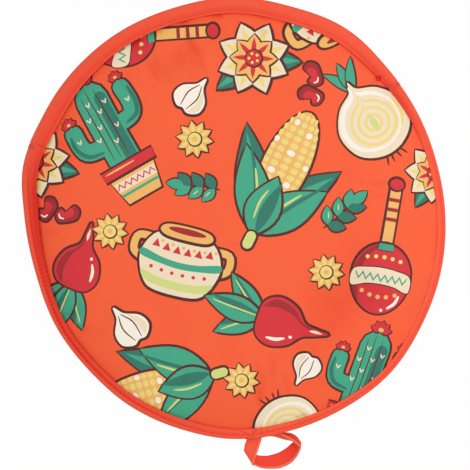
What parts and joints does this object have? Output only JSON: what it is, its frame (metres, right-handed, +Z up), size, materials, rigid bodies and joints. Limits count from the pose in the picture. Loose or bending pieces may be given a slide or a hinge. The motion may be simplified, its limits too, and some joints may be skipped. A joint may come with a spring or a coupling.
{
  "type": "tortilla warmer pouch",
  "caption": "Round padded fabric pouch for keeping flatbreads warm, bound with tape round the rim, with an open mouth and a hanging loop.",
  "frame": {"origin": "centre of the round pouch, on the face that it lies on", "axes": "+Z up from the table, +Y from the centre to the middle of the mouth, -Y to the hanging loop"},
  "size_m": [0.305, 0.3328, 0.0254],
  "materials": {
    "cover_cloth": "matte",
    "binding_tape": "matte",
    "batting": "matte",
    "moisture_film": "satin",
    "lining_cloth": "matte",
    "thread": "satin"
  },
  "bodies": {
    "pouch": {"bottom_cover": "cover_cloth", "bottom_batting": "batting", "bottom_film": "moisture_film", "bottom_lining": "lining_cloth", "top_cover": "cover_cloth", "top_batting": "batting", "top_film": "moisture_film", "top_lining": "lining_cloth", "rim_binding": "binding_tape", "lower_mouth_binding": "binding_tape", "left_mouth_tack": "thread", "right_mouth_tack": "thread", "loop_ends": "binding_tape", "loop_bar_tacks": "thread"},
    "mouth_flap": {"flap_cover": "cover_cloth", "flap_batting": "batting", "flap_film": "moisture_film", "flap_lining": "lining_cloth", "upper_mouth_binding": "binding_tape"},
    "loop": {"hanging_loop": "binding_tape"}
  },
  "joints": [
    {"name": "mouth_open", "type": "hinge", "parent": "pouch", "child": "mouth_flap", "pos_m": [0, 0.07625, 0.0208], "axis": [1, 0, 0], "range_deg": [-6, 50], "stiffness_Nm_per_rad": 0.3},
    {"name": "loop_swing", "type": "hinge", "parent": "pouch", "child": "loop", "pos_m": [0, -0.156, 0.0038], "axis": [-1, 0, 0], "range_deg": [-75, 95]}
  ]
}
